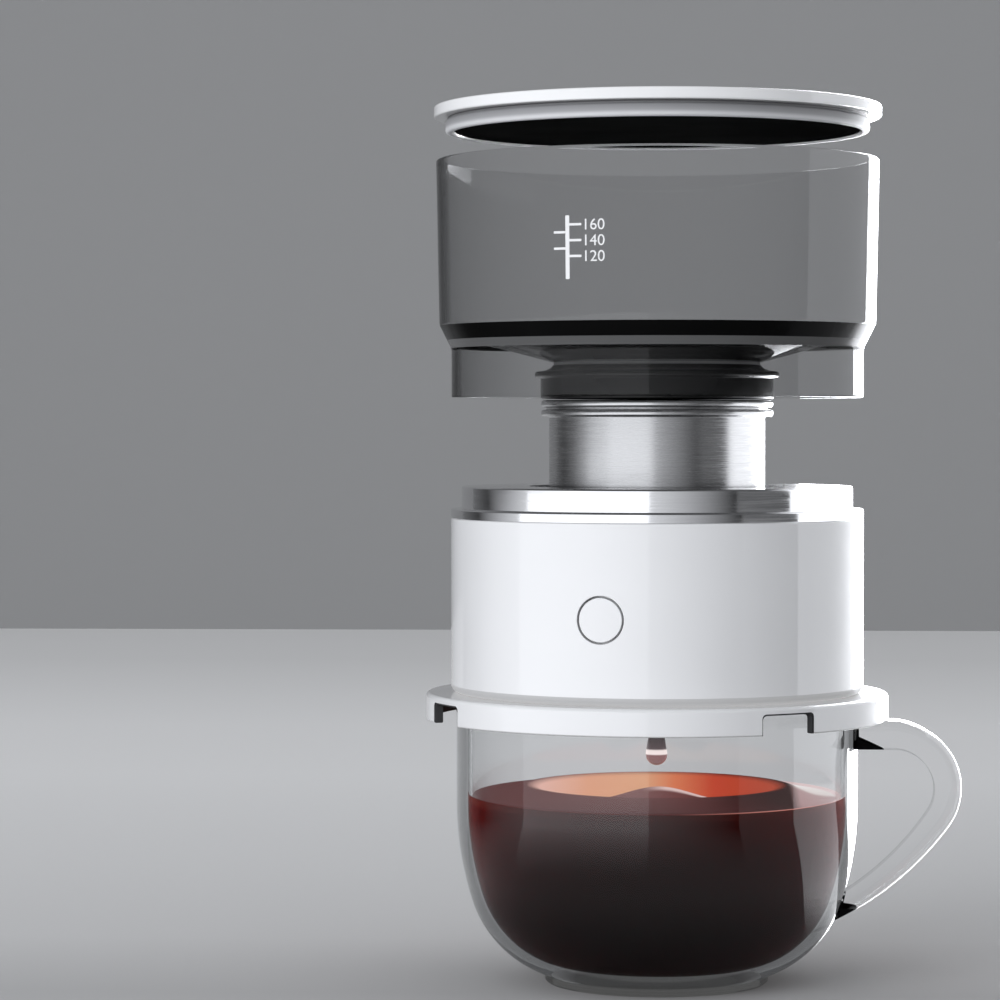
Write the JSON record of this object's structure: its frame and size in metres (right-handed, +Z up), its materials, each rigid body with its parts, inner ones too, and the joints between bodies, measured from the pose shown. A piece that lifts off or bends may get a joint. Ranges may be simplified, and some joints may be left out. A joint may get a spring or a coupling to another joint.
{
  "type": "drip coffee maker",
  "caption": "One-cup drip coffee maker pulled apart over a glass mug: smoke-grey water tank with a white lid, steel filter cup, white drum with a button, flange on the mug's rim",
  "frame": {"origin": "centre of the mug's foot, on the surface it stands on", "axes": "+Z up, -Y towards the button and the level scale, +X towards the mug's handle"},
  "size_m": [0.1186, 0.1024, 0.1939],
  "materials": {
    "clear_glass": "clear, polished",
    "white_plastic": "satin white",
    "smoke_plastic": "clear smoke grey",
    "black_plastic": "satin black",
    "black_gloss": "gloss black",
    "polished_steel": "polished",
    "spun_steel": "brushed round the axis",
    "inner_plastic": "moulded, matt",
    "gear_plastic": "moulded, matt",
    "black_rubber": "matt",
    "motor_steel": "plated",
    "gearbox_metal": "plain",
    "board_green": "lacquered",
    "part_black": "moulded",
    "cell_wrap": "plain coloured wrap",
    "contact_metal": "plated",
    "lead_wrap": "moulded",
    "screw_steel": "plated"
  },
  "bodies": {
    "mug": {"glass_mug": "clear_glass"},
    "base": {"cup_flange": "white_plastic", "housing_shell": "white_plastic", "top_ring": "polished_steel", "deck_plate": "inner_plastic", "chassis": "inner_plastic", "base_screws": "screw_steel", "deck_screws": "screw_steel", "thrust_washer": "gear_plastic", "motor_can": "motor_steel", "motor_gearbox": "gearbox_metal", "motor_bracket": "motor_steel", "motor_screws": "screw_steel", "tact_switch": "part_black", "circuit_board": "board_green", "board_parts": "part_black", "battery_cells": "cell_wrap", "contact_plates": "contact_metal", "battery_tray": "inner_plastic", "battery_leads": "lead_wrap", "motor_leads": "lead_wrap"},
    "tank": {"water_tank": "smoke_plastic", "drip_plug": "black_plastic", "drip_disc": "black_plastic"},
    "lid": {"lid_cap": "white_plastic", "lid_liner": "black_gloss"},
    "carrier": {"filter_carrier": "gear_plastic", "grip_ring": "black_rubber"},
    "filter": {"filter_cup": "spun_steel", "filter_mesh": "spun_steel", "mesh_ring": "spun_steel"},
    "pinion": {"drive_pinion": "gear_plastic", "motor_shaft": "motor_steel"},
    "button": {"button_cap": "white_plastic", "switch_plunger": "part_black"},
    "door": {"battery_door": "white_plastic"}
  },
  "joints": [
    {"name": "machine_lift", "type": "slide", "parent": "mug", "child": "base", "axis": [0, 0, 1], "range_m": [0, 0.1]},
    {"name": "tank_lift", "type": "slide", "parent": "base", "child": "tank", "axis": [0, 0, 1], "range_m": [-0.0245, 0.04]},
    {"name": "lid_lift", "type": "slide", "parent": "tank", "child": "lid", "axis": [0, 0, 1], "range_m": [-0.0092, 0.04]},
    {"name": "carrier_spin", "type": "hinge", "parent": "base", "child": "carrier", "pos_m": [0, 0, 0.0965], "axis": [0, 0, 1], "continuous": true},
    {"name": "filter_lift", "type": "slide", "parent": "carrier", "child": "filter", "axis": [0, 0, 1], "range_m": [-0.0245, 0.04]},
    {"name": "pinion_spin", "type": "hinge", "parent": "base", "child": "pinion", "pos_m": [0.01813, -0.03017, 0.0965], "axis": [0, 0, 1], "continuous": true},
    {"name": "button_press", "type": "slide", "parent": "base", "child": "button", "axis": [0.2605, 0.9655, 0], "range_m": [0, 0.0008], "stiffness_N_per_m": 400},
    {"name": "battery_door", "type": "slide", "parent": "base", "child": "door", "axis": [0, 1, 0], "range_m": [0, 0.02]}
  ],
  "couplings": [
    {"joint": "filter_lift", "follows": "tank_lift", "ratio": 1},
    {"joint": "pinion_spin", "follows": "carrier_spin", "ratio": -4.5}
  ]
}
